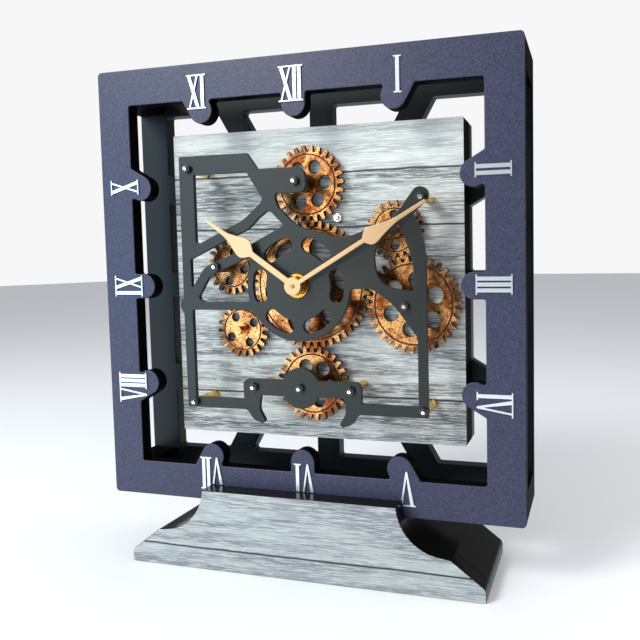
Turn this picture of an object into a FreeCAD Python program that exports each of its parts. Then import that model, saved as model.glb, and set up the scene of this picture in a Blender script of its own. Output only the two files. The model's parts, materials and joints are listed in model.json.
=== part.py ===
import FreeCAD, Part
import math
import os

# Square frame, seen from the front: x to the right, z up, y into the clock
frameHalf = 150.0
frameCornerRadius = 3.0
sheetThickness = 9.0
sideGap = 32.0
frontBorder = 24.5
backBorder = 23.0
openingCornerRadius = 1.5
spokeHalfWidth = 8.65
tabReach = 6.9
spokeCount = 12
cornerBlockSide = 21.0

# Base of three boards standing on the table
baseFrontThickness = 12.0
baseBackThickness = 6.0
baseTopDrop = 44.0
baseHalfWidth = 126.8
baseEndHeight = 8.4
baseShoulderHalf = 104.5
baseShoulderHeight = 25.0
baseWaistHalf = 72.5
baseWaistHeight = 29.3
baseTopHalf = 69.5
baseTopHeight = 55.2
baseSweepRadius = 31.5
baseEdgeRadius = 1.5
baseEndRadius = 5.0

# Centre panel: printed board, spacer and the back frame's middle plate
panelGap = 19.0
panelCornerRadius = 1.0
boardFront = 23.0

# Skeleton plate in front of the wheels
plateThickness = 3.0
ringOuterShare = 0.2467
slotInnerShare = 0.1547
slotOuterShare = 0.2187
slotHalfAngle = 23.0
slotCount = 6
anchorDiscShare = 0.092

# Bolts, nuts, posts and sleeves that hold the skeleton plate
boltRadius = 1.5
boltEndLength = 1.3
boltEndChamfer = 0.4
boltHeadRadius = 2.8
boltHeadHeight = 2.0
boltSocketFlats = 2.0
boltSocketDepth = 1.2
nutFlats = 5.5
nutHeight = 2.4
nutCornerRadius = 3.0
postFlats = 5.5
nutClearance = 0.05
holeClearance = 0.1
headHoleRadius = 4.0
sleeveRadius = 2.5
sleeveFlangeRadius = 4.5
sleeveFrontRadius = 3.8
runningClearance = 0.06
endClearance = 0.1

# Wheels: the module as a share of the frame's half width, tooth sizes as shares of the module
moduleShare = 0.0125
pressureAngle = 14.5
thicknessShare = 1.36
addendumShare = 0.55
dedendumShare = 1.9
flankStartShare = 0.7
gapFloorShare = 0.613
wheelThickness = 3.0
wheelBehindGap = 2.0
grooveWidth = 0.9
grooveDepth = 0.5
topBossRadius = 6.5
topBossHeight = 3.0
driveStubRadius = 3.0
driveStubHeight = 7.0
driveBossRadius = 5.0
driveBossHeight = 1.5
stubBossRadius = 4.5
stubBossHeight = 2.0
stubCapRadius = 3.5
stubCapHeight = 1.4
stubTailLength = 8.0
centreTeeth = 46
centrePhase = 305.5

# Movement, its bush and the hands
bushRadius = 4.0
bushEndLength = 3.6
hourTubeRadius = 2.5
minuteArborRadius = 1.75
centreSleeveRadius = 5.0
centreFlangeRadius = 8.0
centreFrontRadius = 7.0
washerRadius = 8.0
washerThickness = 1.0
bushNutFlats = 11.0
bushNutHeight = 2.2
handThickness = 0.8
hourHandGap = 1.0
minuteHandGap = 1.2
handHubRadius = 5.8
handPinRadius = 1.3
handPinHeight = 0.9
hourHandAngle = 305.0
minuteHandAngle = 60.0
caseHalf = 28.0
caseDepth = 16.0
caseCornerRadius = 3.0
pocketClearance = 1.0
cellRadius = 7.1
cellLength = 49.2
cellTipRadius = 2.7
cellTipLength = 1.1
cellClearance = 0.5
cellWall = 1.2
caseCellDrop = 17.5
knobDrop = 2.0
knobOffset = 14.0
knobRadius = 5.0
knobHeight = 3.6
knobGap = 0.4
knobStemRadius = 1.2
knobStemDepth = 3.0
knobFluteCount = 12
knobFluteRadius = 0.6

# Wheel motor, its cell, switch and wires behind the printed board
motorHalfWidth = 17.0
motorHalfHeight = 12.0
motorDepth = 15.0
motorCornerRadius = 2.0
motorShaftOffset = 6.0
motorCanRadius = 8.0
motorCanDepth = 2.0
shaftRadius = 1.5
shaftHoleRadius = 2.0
shaftInMotor = 6.0
holderInset = 10.5
holderDrop = 3.0
holderHalfWidth = 29.0
holderHalfHeight = 9.0
holderDepth = 16.5
switchCentreX = 4.0
switchCentreZ = -35.5
switchHalfWidth = 7.5
switchHalfHeight = 2.8
sliderTravel = 2.0
sliderHalfWidth = 1.6
sliderHalfHeight = 1.2
sliderReach = 1.8
sliderDepth = 3.0
sliderClearance = 0.25
troughBottomZ = -43.5
troughTopZ = -32.3
troughDepth = 6.0
wireRadius = 0.7
directWireZ = -41.0

# Numerals standing on the frame
numeralHeight = 22.7
numeralRaise = 0.8
numeralInset = 6.0
numeralGap = 0.5
thickStroke = 2.5
thinStroke = 1.2
serifHeight = 0.9
barSerif = 5.2
crossSerif = 10.4
crossSpread = 6.8
wedgeSerif = 12.0
wedgeSpread = 7.4

# Wood screws from behind
screwShankRadius = 1.6
screwHeadRadius = 3.4
screwHeadHeight = 2.2
screwSlotWidth = 0.9
screwSlotDepth = 0.8
frameScrewLength = 26.0
panelScrewLength = 23.0
panelScrewInset = 10.0
baseScrewLength = 22.0

# Sizes across the front that follow from the frame
frontOpeningHalf = frameHalf - frontBorder
backOpeningHalf = frameHalf - backBorder
panelHalf = backOpeningHalf - panelGap
tabEndCentre = frontOpeningHalf - tabReach
ringOuterRadius = ringOuterShare * frameHalf
slotInnerRadius = slotInnerShare * frameHalf
slotOuterRadius = slotOuterShare * frameHalf
anchorDiscRadius = anchorDiscShare * frameHalf
toothModule = moduleShare * frameHalf
toothThickness = thicknessShare * toothModule
gapFloorRadius = gapFloorShare * toothModule
numeralInner = frontOpeningHalf - numeralInset

# Depths along y, measured from the middle of the whole clock
frameDepth = 2 * sheetThickness + sideGap
totalDepth = baseFrontThickness + frameDepth + baseBackThickness
frontY = baseFrontThickness - totalDepth / 2
frontBackY = frontY + sheetThickness
backFrontY = frontBackY + sideGap
backY = backFrontY + sheetThickness
boardY = frontY + boardFront
boardBackY = boardY + sheetThickness
postLength = boardFront - plateThickness
plateBackY = frontY + plateThickness
wheelY = boardY - wheelBehindGap - wheelThickness
flangeY = wheelY + wheelThickness + endClearance
caseBackY = boardBackY + caseDepth

# Height of the clock's centre above the table
centreZ = baseTopDrop + frameHalf

# Corners of the skeleton plate: across share, up share and rounding share of the frame's half width
skeletonOutlineShares = [
    (-0.579, 0.590, 0.008), (-0.232, 0.590, 0.012), (-0.181, 0.518, 0.012), (0.048, 0.518, 0.045),
    (0.048, 0.408, 0.030), (-0.102, 0.408, 0.012), (-0.090, 0.352, 0.080), (0.000, 0.262, 0.200),
    (0.215, 0.202, 0.200), (0.300, 0.230, 0.100), (0.452, 0.292, 0.020), (0.557, 0.427, 0.038),
    (0.620, 0.378, 0.033), (0.530, 0.302, 0.006), (0.570, 0.235, 0.300), (0.586, 0.120, 0.300),
    (0.588, -0.5625, 0.006), (0.272, -0.5625, 0.030), (0.243, -0.608, 0.050), (0.196, -0.624, 0.012),
    (0.184, -0.608, 0.006), (0.215, -0.560, 0.060), (0.207, -0.494, 0.012), (-0.197, -0.494, 0.012),
    (-0.207, -0.560, 0.060), (-0.178, -0.608, 0.006), (-0.190, -0.624, 0.012), (-0.237, -0.608, 0.050),
    (-0.266, -0.5625, 0.030), (-0.575, -0.5625, 0.006), (-0.579, -0.126, 0.020), (-0.597, -0.100, 0.012),
    (-0.597, -0.078, 0.012), (-0.579, -0.052, 0.020),
]
upperWindowShares = [
    (-0.505, 0.505, 0.006), (-0.236, 0.505, 0.006), (-0.157, 0.380, 0.022), (-0.255, 0.297, 0.200),
    (-0.487, 0.193, 0.016), (-0.505, 0.200, 0.010),
]
strutWindowShares = [
    (-0.535, 0.123, 0.006), (-0.345, 0.208, 0.100), (-0.235, 0.253, 0.120), (-0.185, 0.300, 0.100),
    (-0.132, 0.338, 0.018), (-0.061, 0.268, 0.006), (-0.150, 0.222, 0.100), (-0.300, 0.150, 0.100),
    (-0.425, 0.103, 0.050), (-0.468, 0.080, 0.050), (-0.534, -0.012, 0.004),
]
leftWindowShares = [
    (-0.503, -0.056, 0.014), (-0.470, -0.072, 0.004), (-0.238, -0.072, 0.010), (-0.247, 0.000, 0.200),
    (-0.226, 0.128, 0.010), (-0.260, 0.120, 0.030), (-0.405, 0.062, 0.050), (-0.445, 0.038, 0.030),
]
rightWindowShares = [
    (0.470, 0.262, 0.010), (0.352, 0.165, 0.110), (0.372, 0.000, 0.100), (0.536, -0.025, 0.012),
    (0.528, 0.110, 0.300),
]
lowerWindowShares = [
    (-0.534, -0.109, 0.006), (-0.236, -0.109, 0.030), (-0.190, -0.150, 0.020), (0.205, -0.120, 0.020),
    (0.248, -0.014, 0.030), (0.345, -0.014, 0.070), (0.440, -0.080, 0.200), (0.546, -0.220, 0.040),
    (0.546, -0.515, 0.004), (0.288, -0.515, 0.006), (0.290, -0.421, 0.030), (-0.285, -0.421, 0.030),
    (-0.282, -0.515, 0.006), (-0.532, -0.515, 0.004),
]

# Places of the posts and of the wheels, as shares of the frame's half width
postShares = [
    (-0.533, 0.533), (0.570, 0.367), (-0.533, -0.537), (-0.227, -0.458), (0.240, -0.458), (0.570, -0.533),
]
boardScrewShares = (0.134, 0.303)
anchorDiscShares = (0.0, -0.456)

# Hands: length as a share of the frame's half width, then distance from the centre as a share of the
# length and half width as a share of the hub radius
hourLengthShare = 0.523
minuteLengthShare = 0.70
hourHandShares = [
    (0.02, 0.34), (0.47, 0.34), (0.500, 0.72), (0.540, 1.08), (0.575, 1.12), (0.625, 0.90),
    (0.700, 0.52), (0.780, 0.27), (0.98, 0.17),
]
minuteHandShares = [
    (0.02, 0.24), (0.545, 0.24), (0.562, 0.62), (0.585, 0.92), (0.612, 0.95), (0.655, 0.74),
    (0.720, 0.44), (0.790, 0.23), (0.985, 0.18),
]

# Numerals: hour, then its glyphs with their place along the side as a share of the frame's half width
numeralShares = {
    0: [("X", -0.029), ("I", 0.012), ("I", 0.035)],
    1: [("I", 0.477)],
    2: [("I", -0.480), ("I", -0.453)],
    3: [("I", -0.028), ("I", -0.004), ("I", 0.020)],
    4: [("I", 0.455), ("V", 0.502)],
    5: [("V", -0.488)],
    6: [("V", -0.026), ("I", 0.023)],
    7: [("V", 0.433), ("I", 0.478), ("I", 0.502)],
    8: [("V", -0.516), ("I", -0.472), ("I", -0.450), ("I", -0.428)],
    9: [("I", -0.031), ("X", 0.016)],
    10: [("X", 0.462)],
    11: [("X", -0.485), ("I", -0.440)],
}


def point(x, y, z):
    return FreeCAD.Vector(x, y, z)


def roundedWire(corners, y):
    """Closed outline in the x-z plane from corners given as x, z and rounding radius."""
    turns = []
    for index, (x, z, radius) in enumerate(corners):
        here = point(x, y, z)
        before = corners[index - 1]
        after = corners[(index + 1) % len(corners)]
        toBefore = (point(before[0], y, before[1]) - here).normalize()
        toAfter = (point(after[0], y, after[1]) - here).normalize()
        halfAngle = toBefore.getAngle(toAfter) / 2
        reach = radius / math.tan(halfAngle)
        bulge = radius / math.sin(halfAngle) - radius
        middle = here + (toBefore + toAfter).normalize() * bulge
        turns.append((here + toBefore * reach, middle, here + toAfter * reach))
    edges = []
    for index, (start, middle, end) in enumerate(turns):
        following = turns[(index + 1) % len(turns)][0]
        if corners[index][2] > 0:
            edges.append(Part.Arc(start, middle, end).toShape())
        if (following - end).Length > Part.Precision.approximation():
            edges.append(Part.makeLine(end, following))
    return Part.Wire(edges)


def slab(corners, y, depth):
    """Plate with the given rounded outline, from y into the clock by depth."""
    return Part.Face(roundedWire(corners, y)).extrude(point(0, depth, 0))


def aboveTable(corners):
    return [(x, z + centreZ, radius) for x, z, radius in corners]


def fromShares(shares):
    return aboveTable([tuple(value * frameHalf for value in row) for row in shares])


def rectangle(x, z, halfWidth, halfHeight, radius):
    left, right, low, high = x - halfWidth, x + halfWidth, z - halfHeight, z + halfHeight
    return [(left, low, radius), (right, low, radius), (right, high, radius), (left, high, radius)]


def square(half, radius):
    return rectangle(0, centreZ, half, half, radius)


def rod(place, radius, y, depth):
    """Round bar along y, centred at an x and z place."""
    return Part.makeCylinder(radius, depth, point(place[0], y, place[1]), point(0, 1, 0))


def tube(place, outer, inner, y, depth):
    return rod(place, outer, y, depth).cut(rod(place, inner, y, depth))


def hexagon(place, flats, y, depth):
    corner = flats / math.sqrt(3)
    turns = [math.radians(60 * step + 30) for step in range(6)]
    ring = [(place[0] + corner * math.cos(turn), place[1] + corner * math.sin(turn), 0) for turn in turns]
    return slab(ring, y, depth)


def onCircle(centre, radius, degrees):
    turn = math.radians(degrees)
    return (centre[0] + radius * math.cos(turn), centre[1] + radius * math.sin(turn))


def joined(shapes):
    return shapes[0].multiFuse(shapes[1:]).removeSplitter()


def drilled(shape, tools):
    return shape.cut(Part.Compound(tools))


# Spokes: corners where a spoke's flank meets a line square to one side of the frame
def sideNormal(degrees):
    """Outward direction of the frame side that a spoke runs into."""
    side = int((degrees + 45) % 360 // 90)
    return [(1, 0), (0, 1), (-1, 0), (0, -1)][side]


def flankPlace(degrees, offset, distance, radius):
    turn = math.radians(degrees)
    along = (math.cos(turn), math.sin(turn))
    across = (-along[1], along[0])
    normal = sideNormal(degrees)
    reach = distance - offset * (across[0] * normal[0] + across[1] * normal[1])
    reach /= along[0] * normal[0] + along[1] * normal[1]
    return (along[0] * reach + across[0] * offset, along[1] * reach + across[1] * offset, radius)


def tabCorners(degrees):
    """Four corners of one rounded tab on the edge of the front opening, anticlockwise."""
    turn = math.radians(degrees)
    straightness = max(abs(math.cos(turn)), abs(math.sin(turn)))
    tip = tabEndCentre / straightness - spokeHalfWidth
    along = (math.cos(turn), math.sin(turn))
    across = (-along[1] * spokeHalfWidth, along[0] * spokeHalfWidth)
    right = (along[0] * tip - across[0], along[1] * tip - across[1], spokeHalfWidth)
    left = (along[0] * tip + across[0], along[1] * tip + across[1], spokeHalfWidth)
    rootRight = flankPlace(degrees, -spokeHalfWidth, frontOpeningHalf, openingCornerRadius)
    rootLeft = flankPlace(degrees, spokeHalfWidth, frontOpeningHalf, openingCornerRadius)
    return [rootRight, right, left, rootLeft]


def diagonalCorner(degrees, half):
    turn = math.radians(degrees)
    return (math.copysign(half, math.cos(turn)), math.copysign(half, math.sin(turn)), openingCornerRadius)


def frontFrame():
    corners = []
    for spoke in range(spokeCount):
        degrees = spoke * 360 / spokeCount
        corners += tabCorners(degrees)
        if spoke % 3 == 1:
            corners.append(diagonalCorner(degrees, frontOpeningHalf))
    outer = slab(square(frameHalf, frameCornerRadius), frontY, sheetThickness)
    return outer.cut(slab(aboveTable(corners), frontY, sheetThickness))


def backFrame():
    shape = slab(square(frameHalf, frameCornerRadius), backFrontY, sheetThickness)
    windows = []
    for spoke in range(spokeCount):
        first = spoke * 360 / spokeCount
        second = first + 360 / spokeCount
        corners = [
            flankPlace(first, spokeHalfWidth, panelHalf, openingCornerRadius),
            flankPlace(first, spokeHalfWidth, backOpeningHalf, openingCornerRadius),
            flankPlace(second, -spokeHalfWidth, backOpeningHalf, openingCornerRadius),
            flankPlace(second, -spokeHalfWidth, panelHalf, openingCornerRadius),
        ]
        if spoke % 3 == 1:
            corners.insert(2, diagonalCorner(first, backOpeningHalf))
            corners.append(diagonalCorner(first, panelHalf))
        windows.append(slab(aboveTable(corners), backFrontY, sheetThickness))
    return drilled(shape, windows)


def cornerBlock(across, up):
    outer = slab(square(frameHalf, frameCornerRadius), frontBackY, sideGap)
    inset = frameHalf - cornerBlockSide / 2
    half = cornerBlockSide / 2
    block = slab(rectangle(across * inset, centreZ + up * inset, half, half, 0), frontBackY, sideGap)
    return block.common(outer)


# Wood screws with a sunk head, driven forwards from the back
def woodScrew(place, headY, length):
    head = Part.makeCone(screwHeadRadius, screwShankRadius, screwHeadHeight, point(place[0], headY, place[1]),
                         point(0, -1, 0))
    shank = rod(place, screwShankRadius, headY - length, length - screwHeadHeight)
    slot = slab(rectangle(place[0], place[1], screwHeadRadius, screwSlotWidth / 2, 0), headY - screwSlotDepth,
                screwSlotDepth)
    return head.fuse(shank).cut(slot)


def woodScrews(places, headY, length):
    return Part.Compound([woodScrew(place, headY, length) for place in places])


def screwHole(place, headY, length):
    head = Part.makeCone(screwHeadRadius + holeClearance, screwShankRadius + holeClearance, screwHeadHeight,
                         point(place[0], headY, place[1]), point(0, -1, 0))
    reach = length + holeClearance
    return head.fuse(rod(place, screwShankRadius + holeClearance, headY - reach, reach))


def fourPlaces(across, up):
    return [(x * across, centreZ + z * up) for x in (-1, 1) for z in (-1, 1)]


# Wheels
def meshedPhase(phase, teeth, otherTeeth, bearing):
    """Angle of a tooth on a wheel so that it meets its neighbour's gap."""
    return bearing + 180 - (phase - bearing) * teeth / otherTeeth - 180 / otherTeeth


def meshDistance(teeth, otherTeeth):
    return toothModule * (teeth + otherTeeth) / 2


def involute(angle):
    return math.tan(angle) - angle


def toothHalfAngle(teeth, radius):
    pitch = teeth * toothModule / 2
    base = pitch * math.cos(math.radians(pressureAngle))
    atPitch = toothThickness / 2 / pitch + involute(math.radians(pressureAngle))
    return atPitch - (involute(math.acos(base / radius)) if radius > base else 0)


def toothedDisc(centre, teeth, phase, y, depth):
    pitch = teeth * toothModule / 2
    tip = pitch + addendumShare * toothModule
    root = pitch - dedendumShare * toothModule
    flank = pitch - flankStartShare * toothModule
    floor = root + gapFloorRadius
    step = 2 * math.pi / teeth
    floorAngle = step / 2 - gapFloorRadius / floor

    def at(radius, angle):
        return point(centre[0] + radius * math.cos(angle), y, centre[1] + radius * math.sin(angle))

    edges = []
    for tooth in range(teeth):
        middle = math.radians(phase) + tooth * step
        tipAngle = toothHalfAngle(teeth, tip)
        pitchAngle = toothHalfAngle(teeth, pitch)
        flankAngle = toothHalfAngle(teeth, flank)
        rising = [at(flank, middle - flankAngle), at(pitch, middle - pitchAngle), at(tip, middle - tipAngle)]
        falling = [at(tip, middle + tipAngle), at(pitch, middle + pitchAngle), at(flank, middle + flankAngle)]
        gapStart = at(floor, middle + floorAngle)
        gapEnd = at(floor, middle + step - floorAngle)
        edges.append(Part.makeLine(at(floor, middle - floorAngle), rising[0]))
        edges.append(Part.Arc(*rising).toShape())
        edges.append(Part.Arc(rising[2], at(tip, middle), falling[0]).toShape())
        edges.append(Part.Arc(*falling).toShape())
        edges.append(Part.makeLine(falling[2], gapStart))
        edges.append(Part.Arc(gapStart, at(root, middle + step / 2), gapEnd).toShape())
    return Part.Face(Part.Wire(edges)).extrude(point(0, depth, 0))


def wheel(centre, teeth, phase, boreRadius, holes, grooveInset, boss):
    """Toothed wheel with round windows, a turned groove and an optional boss in front."""
    count, radiusShare, circleShare, firstAngle = holes
    bossRadius, bossHeight = boss
    pitch = teeth * toothModule / 2
    shape = toothedDisc(centre, teeth, phase, wheelY, wheelThickness)
    groove = pitch - dedendumShare * toothModule - grooveInset
    tools = [tube(centre, groove + grooveWidth / 2, groove - grooveWidth / 2, wheelY, grooveDepth)]
    for index in range(count):
        place = onCircle(centre, circleShare * pitch, firstAngle + index * 360 / count)
        tools.append(rod(place, radiusShare * pitch, wheelY, wheelThickness))
    shape = drilled(shape, tools)
    if bossHeight > 0:
        shape = shape.fuse(rod(centre, bossRadius, wheelY - bossHeight, bossHeight))
    return shape.cut(rod(centre, boreRadius, wheelY - bossHeight, bossHeight + wheelThickness))


# Places of the wheels: bearing in degrees from a wheel to its neighbour, seen from the front
centrePlace = (0.0, centreZ)
topTeeth = 27
leftTeeth = 20
lowerLeftTeeth = 20
bottomTeeth = 27
upperRightTeeth = 20
rightTeeth = 34
topBearing = 90.0
leftBearing = 167.8
lowerLeftBearing = 210.9
bottomBearing = 270.0
rightBearing = -10.1
upperRightBearing = 103.7


def neighbour(place, teeth, otherTeeth, bearing):
    return onCircle(place, meshDistance(teeth, otherTeeth), bearing)


topPlace = neighbour(centrePlace, centreTeeth, topTeeth, topBearing)
leftPlace = neighbour(centrePlace, centreTeeth, leftTeeth, leftBearing)
lowerLeftPlace = neighbour(centrePlace, centreTeeth, lowerLeftTeeth, lowerLeftBearing)
bottomPlace = neighbour(centrePlace, centreTeeth, bottomTeeth, bottomBearing)
rightPlace = neighbour(centrePlace, centreTeeth, rightTeeth, rightBearing)
upperRightPlace = neighbour(rightPlace, rightTeeth, upperRightTeeth, upperRightBearing)

postPlaces = [(x * frameHalf, z * frameHalf + centreZ) for x, z in postShares]
axlePlaces = [topPlace, leftPlace, bottomPlace, rightPlace]
boltPlaces = postPlaces + axlePlaces
boardScrewPlace = (boardScrewShares[0] * frameHalf, boardScrewShares[1] * frameHalf + centreZ)
panelScrewPlaces = fourPlaces(panelHalf - panelScrewInset, panelHalf - panelScrewInset)

pieces = {}

# Frame, its corner blocks and the screws that hold it together
blockInset = frameHalf - cornerBlockSide / 2
frameScrewPlaces = fourPlaces(blockInset, blockInset)
frameScrewHoles = [screwHole(place, backY, frameScrewLength) for place in frameScrewPlaces]
pieces["front_frame"] = frontFrame()
for across, side in ((-1, "left"), (1, "right")):
    for up, level in ((-1, "bottom"), (1, "top")):
        block = cornerBlock(across, up)
        pieces[f"corner_block_{level}_{side}"] = drilled(block, frameScrewHoles)
pieces["frame_screws"] = woodScrews(frameScrewPlaces, backY, frameScrewLength)

# Pockets behind the printed board
holderX = panelHalf - holderInset - holderHalfWidth
holderPlace = (holderX, centreZ - caseHalf - 2 * pocketClearance - holderDrop - holderHalfHeight)
motorPlace = (lowerLeftPlace[0] - motorShaftOffset, lowerLeftPlace[1])
movementPocket = square(caseHalf + pocketClearance, caseCornerRadius)
motorPocket = rectangle(*motorPlace, motorHalfWidth + pocketClearance, motorHalfHeight + pocketClearance,
                        motorCornerRadius)
holderPocket = rectangle(*holderPlace, holderHalfWidth + pocketClearance, holderHalfHeight + pocketClearance,
                         motorCornerRadius)
pockets = [movementPocket, motorPocket, holderPocket]

# Printed board and the spacer behind it
boardHoles = [rod(place, boltRadius + holeClearance, boardY, sheetThickness) for place in boltPlaces]
boardHoles.append(rod(boardScrewPlace, boltRadius + holeClearance, boardY, sheetThickness))
boardHoles.append(rod(centrePlace, bushRadius + holeClearance, boardY, sheetThickness))
boardHoles.append(rod(lowerLeftPlace, shaftHoleRadius, boardY, sheetThickness))
boardHoles.append(rod(upperRightPlace, boltRadius + holeClearance, boardY, stubTailLength + holeClearance))
panelScrewHoles = [screwHole(place, backY, panelScrewLength) for place in panelScrewPlaces]
board = slab(square(panelHalf, panelCornerRadius), boardY, sheetThickness)
pieces["wood_board"] = drilled(board, boardHoles + panelScrewHoles)

spacerHoles = [slab(pocket, boardBackY, sheetThickness) for pocket in pockets]
headPlaces = boltPlaces + [boardScrewPlace]
spacerHoles += [rod(place, headHoleRadius, boardBackY, sheetThickness) for place in headPlaces]
spacer = slab(square(panelHalf, panelCornerRadius), boardBackY, sheetThickness)
pieces["board_spacer"] = drilled(spacer, spacerHoles + panelScrewHoles)
pieces["panel_screws"] = woodScrews(panelScrewPlaces, backY, panelScrewLength)

# Trough for the switch and the wires, between the motor and the cell holder
troughLeft = motorPlace[0] + motorHalfWidth
troughRight = holderX - holderHalfWidth
troughHalf = (troughTopZ - troughBottomZ) / 2
trough = rectangle((troughLeft + troughRight) / 2, centreZ + (troughTopZ + troughBottomZ) / 2,
                   (troughRight - troughLeft) / 2, troughHalf, 0)
troughFloorY = backY - troughDepth
backCuts = [slab(pocket, backFrontY, sheetThickness) for pocket in pockets]
backCuts.append(slab(trough, troughFloorY, troughDepth))

# Base boards, all three with the same outline except where the frame stands on the middle one
baseRight = [
    (baseHalfWidth, 0, baseEdgeRadius), (baseHalfWidth, baseEndHeight, baseEndRadius),
    (baseShoulderHalf, baseShoulderHeight, baseEdgeRadius), (baseWaistHalf, baseWaistHeight, baseSweepRadius),
    (baseTopHalf, baseTopHeight, 0),
]
baseOutline = baseRight + [(-x, z, radius) for x, z, radius in reversed(baseRight)]
lowScrewShares = [(0.80, 0.32), (0.30, 0.55)]
baseScrewPlaces = [(side * x * baseHalfWidth, z * baseTopDrop) for x, z in lowScrewShares for side in (-1, 1)]
baseScrewPlaces += [(side * baseWaistHalf / 2, (baseTopDrop + baseTopHeight) / 2) for side in (-1, 1)]
baseBackY = backY + baseBackThickness
baseScrewHoles = [screwHole(place, baseBackY, baseScrewLength) for place in baseScrewPlaces]
pieces["back_frame"] = drilled(backFrame(), backCuts + frameScrewHoles + panelScrewHoles + baseScrewHoles)
pieces["base_front_board"] = slab(baseOutline, frontY - baseFrontThickness, baseFrontThickness)
core = slab(baseOutline, frontY, frameDepth)
coreTop = slab(rectangle(0, baseTopDrop * 2, baseHalfWidth, baseTopDrop, 0), frontY, frameDepth)
pieces["base_core"] = drilled(core, [coreTop] + baseScrewHoles)
pieces["base_back_board"] = drilled(slab(baseOutline, backY, baseBackThickness), baseScrewHoles)
pieces["base_screws"] = woodScrews(baseScrewPlaces, baseBackY, baseScrewLength)


# Skeleton plate
def ringSlot(degrees):
    """Curved slot with round ends in the ring round the centre."""
    middleRadius = (slotInnerRadius + slotOuterRadius) / 2
    endRadius = (slotOuterRadius - slotInnerRadius) / 2
    endAngle = slotHalfAngle - math.degrees(endRadius / middleRadius)
    ends = [onCircle(centrePlace, middleRadius, degrees + side * endAngle) for side in (-1, 1)]
    band = tube(centrePlace, slotOuterRadius, slotInnerRadius, frontY, plateThickness)
    reach = slotOuterRadius * 2
    wedge = [centrePlace] + [onCircle(centrePlace, reach, degrees + side * endAngle) for side in (-1, 1)]
    sector = slab([(x, z, 0) for x, z in wedge], frontY, plateThickness)
    rounds = [rod(end, endRadius, frontY, plateThickness) for end in ends]
    return joined([band.common(sector)] + rounds)


windows = [upperWindowShares, strutWindowShares, leftWindowShares, rightWindowShares, lowerWindowShares]
anchorPlace = (anchorDiscShares[0] * frameHalf, anchorDiscShares[1] * frameHalf + centreZ)
plate = slab(fromShares(skeletonOutlineShares), frontY, plateThickness)
plate = drilled(plate, [slab(fromShares(shares), frontY, plateThickness) for shares in windows])
plate = joined([plate, rod(centrePlace, ringOuterRadius, frontY, plateThickness),
                rod(anchorPlace, anchorDiscRadius, frontY, plateThickness)])
plateCuts = [ringSlot(slot * 360 / slotCount) for slot in range(slotCount)]
plateCuts += [rod(place, boltRadius + holeClearance, frontY, plateThickness) for place in boltPlaces]
plateCuts.append(rod(centrePlace, bushRadius + holeClearance, frontY, plateThickness))
pieces["skeleton_plate"] = drilled(plate, plateCuts)


# Bolts from behind the board, with posts or sleeves between board and plate and nuts in front
def bolt(place, tipY):
    shank = rod(place, boltRadius, tipY, boardBackY - tipY)
    shank = shank.makeChamfer(boltEndChamfer, [edge for edge in shank.Edges
                                               if abs(edge.CenterOfMass.y - tipY) < boltEndChamfer / 2])
    head = rod(place, boltHeadRadius, boardBackY, boltHeadHeight)
    socketY = boardBackY + boltHeadHeight - boltSocketDepth
    return shank.fuse(head).cut(hexagon(place, boltSocketFlats, socketY, boltSocketDepth))


def nut(place, y):
    ring = hexagon(place, nutFlats, y, nutHeight)
    ring = ring.common(rod(place, nutCornerRadius, y, nutHeight))
    return ring.cut(rod(place, boltRadius + nutClearance, y, nutHeight))


def sleeve(place, innerRadius, outerRadius, flangeRadius):
    """Bearing tube with a flange behind the wheel."""
    flange = rod(place, flangeRadius, flangeY, boardY - flangeY)
    body = rod(place, outerRadius, plateBackY, postLength).fuse(flange)
    return body.cut(rod(place, innerRadius, plateBackY, postLength))


boltTipY = frontY - nutHeight - boltEndLength
boreRadius = boltRadius + holeClearance
posts = [hexagon(place, postFlats, plateBackY, postLength) for place in postPlaces]
posts = [post.cut(rod(place, boreRadius, plateBackY, postLength)) for post, place in zip(posts, postPlaces)]
pieces["plate_posts"] = Part.Compound(posts)
pieces["plate_bolts"] = Part.Compound([bolt(place, boltTipY) for place in boltPlaces])
pieces["plate_nuts"] = Part.Compound([nut(place, frontY - nutHeight) for place in boltPlaces])
pieces["board_screw"] = bolt(boardScrewPlace, boardY - nutHeight - boltEndLength)
pieces["board_nut"] = nut(boardScrewPlace, boardY - nutHeight)
sleeves = [sleeve(place, boreRadius, sleeveRadius, sleeveFlangeRadius) for place in axlePlaces]
pieces["axle_sleeves"] = Part.Compound(sleeves)
frontTubes = []
for place in axlePlaces:
    length = wheelY - endClearance - plateBackY - (topBossHeight if place is topPlace else 0)
    frontTubes.append(tube(place, sleeveFrontRadius, sleeveRadius + nutClearance, plateBackY, length))
pieces["axle_spacers"] = Part.Compound(frontTubes)
bushHoleRadius = bushRadius + holeClearance
pieces["centre_sleeve"] = sleeve(centrePlace, bushHoleRadius, centreSleeveRadius, centreFlangeRadius)
pieces["centre_spacer"] = tube(centrePlace, centreFrontRadius, centreSleeveRadius + nutClearance, plateBackY,
                               wheelY - endClearance - plateBackY)

# Wheels: windows as count, radius and circle as shares of the pitch radius, and first angle
axleBore = sleeveRadius + runningClearance
centreBore = centreSleeveRadius + runningClearance
wideInset = 1.5
narrowInset = 0.9
noBoss = (0, 0)
topHoles = (6, 0.186, 0.506, 4)
centreHoles = (6, 0.199, 0.605, 10.7)
leftHoles = (4, 0.171, 0.550, -11)
lowerLeftHoles = (4, 0.171, 0.550, 30)
bottomHoles = (6, 0.186, 0.514, 52)
upperRightHoles = (4, 0.171, 0.544, 0)
rightHoles = (6, 0.171, 0.518, 22)
topPhase = meshedPhase(centrePhase, centreTeeth, topTeeth, topBearing)
leftPhase = meshedPhase(centrePhase, centreTeeth, leftTeeth, leftBearing)
lowerLeftPhase = meshedPhase(centrePhase, centreTeeth, lowerLeftTeeth, lowerLeftBearing)
bottomPhase = meshedPhase(centrePhase, centreTeeth, bottomTeeth, bottomBearing)
rightPhase = meshedPhase(centrePhase, centreTeeth, rightTeeth, rightBearing)
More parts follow.
